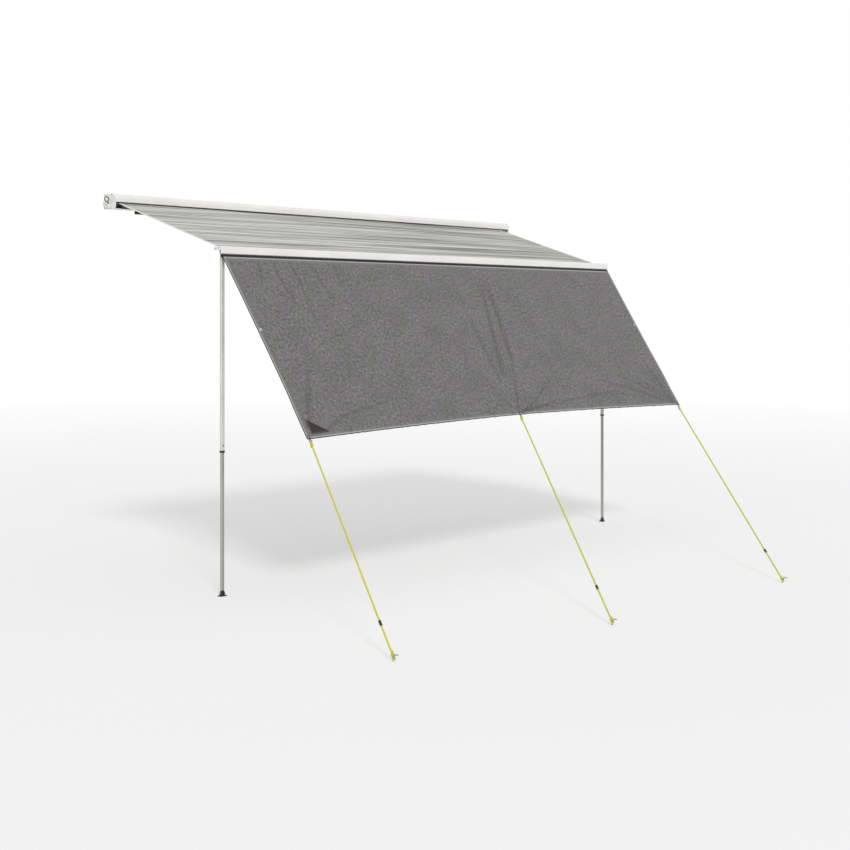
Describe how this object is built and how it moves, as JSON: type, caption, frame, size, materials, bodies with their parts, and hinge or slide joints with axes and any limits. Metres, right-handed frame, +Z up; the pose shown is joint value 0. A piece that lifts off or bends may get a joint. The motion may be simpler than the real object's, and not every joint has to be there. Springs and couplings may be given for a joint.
{
  "type": "van roof canopy with sun screen",
  "caption": "Wind-out sun canopy for a van roof: fabric roller in a white case, folding arms, lead rail on telescopic legs, and a guyed front sun screen of dark mesh.",
  "frame": {"origin": "middle of the seat of the middle roof bracket", "axes": "+X along the van to the right as seen from the canopy side, -Y away from the van, +Z up"},
  "size_m": [5.0714, 3.7822, 2.8463],
  "materials": {
    "white_coat": "satin powder coat on extruded aluminium",
    "arm_coat": "satin powder coat; the weight stands for an extrusion with steel tension springs inside",
    "bare_aluminium": "plain anodised",
    "cast_grey": "grey painted casting",
    "black_plastic": "moulded, fine grain",
    "steel": "plain",
    "roof_cloth": "coated cloth with soft grey stripes",
    "screen_cloth": "open woven mesh, dark grey",
    "cord_cloth": "cord sewn into a hem",
    "neon_rope": "braided rope"
  },
  "bodies": {
    "case": {"case_housing": "white_coat", "left_end_cap": "white_coat", "right_end_cap": "white_coat", "left_roof_bracket": "black_plastic", "middle_roof_bracket": "black_plastic", "right_roof_bracket": "black_plastic", "winding_gearbox": "cast_grey", "left_shoulder_bracket": "cast_grey", "right_shoulder_bracket": "cast_grey", "roof_fabric": "roof_cloth"},
    "roller": {"roller_tube": "bare_aluminium", "left_roller_plug": "black_plastic", "right_roller_plug": "black_plastic"},
    "crank": {"crank_eye": "cast_grey"},
    "lead_rail": {"lead_rail": "white_coat", "left_rail_cap": "white_coat", "right_rail_cap": "white_coat", "roof_keder": "cord_cloth", "left_wrist_bracket": "cast_grey", "right_wrist_bracket": "cast_grey", "left_leg_hanger": "cast_grey", "right_leg_hanger": "cast_grey"},
    "screen": {"front_screen": "screen_cloth", "screen_keder": "cord_cloth", "left_anchor_ring": "cast_grey", "centre_anchor_ring": "cast_grey", "right_anchor_ring": "cast_grey"},
    "left_upper_arm": {"left_upper_arm": "arm_coat", "left_elbow_pin": "steel"},
    "left_forearm": {"left_forearm": "arm_coat"},
    "left_knuckle": {"left_knuckle": "black_plastic"},
    "left_leg": {"left_leg_head": "black_plastic", "left_outer_tube": "white_coat", "left_lock_collar": "black_plastic"},
    "left_button": {"left_lock_button": "black_plastic"},
    "left_inner_leg": {"left_inner_tube": "bare_aluminium", "left_foot_plug": "black_plastic"},
    "left_foot": {"left_foot": "black_plastic", "left_foot_bolt": "steel"},
    "right_upper_arm": {"right_upper_arm": "arm_coat", "right_elbow_pin": "steel"},
    "right_forearm": {"right_forearm": "arm_coat"},
    "right_knuckle": {"right_knuckle": "black_plastic"},
    "right_leg": {"right_leg_head": "black_plastic", "right_outer_tube": "white_coat", "right_lock_collar": "black_plastic"},
    "right_button": {"right_lock_button": "black_plastic"},
    "right_inner_leg": {"right_inner_tube": "bare_aluminium", "right_foot_plug": "black_plastic"},
    "right_foot": {"right_foot": "black_plastic", "right_foot_bolt": "steel"},
    "left_rope": {"left_guy_rope": "neon_rope", "left_peg": "steel"},
    "left_runner": {"left_runner": "black_plastic"},
    "centre_rope": {"centre_guy_rope": "neon_rope", "centre_peg": "steel"},
    "centre_runner": {"centre_runner": "black_plastic"},
    "right_rope": {"right_guy_rope": "neon_rope", "right_peg": "steel"},
    "right_runner": {"right_runner": "black_plastic"}
  },
  "joints": [
    {"name": "arm_fold", "type": "hinge", "parent": "case", "child": "left_upper_arm", "pos_m": [-2.15, -0.01515, 0.05244], "axis": [0, -0.3057, 0.9521], "range_deg": [0, 62.4], "deforming": ["roof_fabric"]},
    {"name": "left_elbow", "type": "hinge", "parent": "left_upper_arm", "child": "left_forearm", "pos_m": [-1.87569, -0.54454, -0.11752], "axis": [0, -0.3057, 0.9521], "range_deg": [-124.8, 0]},
    {"name": "left_wrist", "type": "hinge", "parent": "left_forearm", "child": "lead_rail", "pos_m": [-2.15, -1.07392, -0.28749], "axis": [0, -0.3057, 0.9521], "range_deg": [0, 62.4]},
    {"name": "right_shoulder", "type": "hinge", "parent": "case", "child": "right_upper_arm", "pos_m": [2.15, -0.01515, 0.05244], "axis": [0, -0.3057, 0.9521], "range_deg": [-62.4, 0]},
    {"name": "right_elbow", "type": "hinge", "parent": "right_upper_arm", "child": "right_forearm", "pos_m": [1.87569, -0.54454, -0.11752], "axis": [0, -0.3057, 0.9521], "range_deg": [0, 124.8]},
    {"name": "roller_spin", "type": "hinge", "parent": "case", "child": "roller", "pos_m": [0, 0.02633, 0.06062], "axis": [1, 0, 0], "range_deg": [-2435, 0]},
    {"name": "crank_turn", "type": "hinge", "parent": "case", "child": "crank", "pos_m": [-2.29722, -0.01767, 0.08738], "axis": [-0.4067, 0, 0.9135], "range_deg": [0, 9740]},
    {"name": "left_leg_tilt", "type": "hinge", "parent": "lead_rail", "child": "left_knuckle", "pos_m": [-2.216, -1.12761, -0.30707], "axis": [-1, 0, 0], "range_deg": [-25, 4]},
    {"name": "left_leg_fold", "type": "hinge", "parent": "left_knuckle", "child": "left_leg", "pos_m": [-2.216, -1.12761, -0.32707], "axis": [0, -1, 0], "range_deg": [0, 90]},
    {"name": "left_leg_slide", "type": "slide", "parent": "left_leg", "child": "left_inner_leg", "axis": [0, 0, 1], "range_m": [0, 0.85]},
    {"name": "left_button_press", "type": "slide", "parent": "left_leg", "child": "left_button", "axis": [0, 1, 0], "range_m": [0, 0.0025], "stiffness_N_per_m": 500},
    {"name": "left_foot_pivot", "type": "hinge", "parent": "left_inner_leg", "child": "left_foot", "pos_m": [-2.216, -1.12761, -2.525], "axis": [1, 0, 0], "range_deg": [-30, 30]},
    {"name": "right_leg_tilt", "type": "hinge", "parent": "lead_rail", "child": "right_knuckle", "pos_m": [2.216, -1.12761, -0.30707], "axis": [-1, 0, 0], "range_deg": [-25, 4]},
    {"name": "right_leg_fold", "type": "hinge", "parent": "right_knuckle", "child": "right_leg", "pos_m": [2.216, -1.12761, -0.32707], "axis": [0, 1, 0], "range_deg": [0, 90]},
    {"name": "right_leg_slide", "type": "slide", "parent": "right_leg", "child": "right_inner_leg", "axis": [0, 0, 1], "range_m": [0, 0.85]},
    {"name": "right_button_press", "type": "slide", "parent": "right_leg", "child": "right_button", "axis": [0, 1, 0], "range_m": [0, 0.0025], "stiffness_N_per_m": 500},
    {"name": "right_foot_pivot", "type": "hinge", "parent": "right_inner_leg", "child": "right_foot", "pos_m": [2.216, -1.12761, -2.525], "axis": [1, 0, 0], "range_deg": [-30, 30]},
    {"name": "screen_lift", "type": "hinge", "parent": "lead_rail", "child": "screen", "pos_m": [0, -1.15361, -0.32107], "axis": [-1, 0, 0], "range_deg": [0, 55]},
    {"name": "left_rope_swing", "type": "hinge", "parent": "screen", "child": "left_rope", "pos_m": [-2.19708, -1.92142, -1.50309], "axis": [0.9288, -0.2018, -0.3107], "range_deg": [0, 105]},
    {"name": "left_runner_slide", "type": "slide", "parent": "left_rope", "child": "left_runner", "axis": [-0.3561, -0.7179, -0.5982], "range_m": [-0.3, 0.12]},
    {"name": "centre_rope_swing", "type": "hinge", "parent": "screen", "child": "centre_rope", "pos_m": [-0.00648, -1.89782, -1.46675], "axis": [0.8078, -0.3211, -0.4943], "range_deg": [0, 109]},
    {"name": "centre_runner_slide", "type": "slide", "parent": "centre_rope", "child": "centre_runner", "axis": [-0.5542, -0.6994, -0.4514], "range_m": [-0.3, 0.12]},
    {"name": "right_rope_swing", "type": "hinge", "parent": "screen", "child": "right_rope", "pos_m": [2.18571, -1.92034, -1.50143], "axis": [0.749, -0.3609, -0.5556], "range_deg": [0, 110]},
    {"name": "right_runner_slide", "type": "slide", "parent": "right_rope", "child": "right_runner", "axis": [-0.6195, -0.6788, -0.3943], "range_m": [-0.3, 0.12]}
  ],
  "couplings": [
    {"joint": "left_elbow", "follows": "arm_fold", "ratio": -2},
    {"joint": "left_wrist", "follows": "arm_fold", "ratio": 1},
    {"joint": "right_shoulder", "follows": "arm_fold", "ratio": -1},
    {"joint": "right_elbow", "follows": "arm_fold", "ratio": 2},
    {"joint": "roller_spin", "follows": "arm_fold", "ratio": -39},
    {"joint": "crank_turn", "follows": "arm_fold", "ratio": 156},
    {"joint": "left_rope_swing", "follows": "screen_lift", "ratio": 1.8942},
    {"joint": "centre_rope_swing", "follows": "screen_lift", "ratio": 1.9692},
    {"joint": "right_rope_swing", "follows": "screen_lift", "ratio": 1.9866}
  ]
}
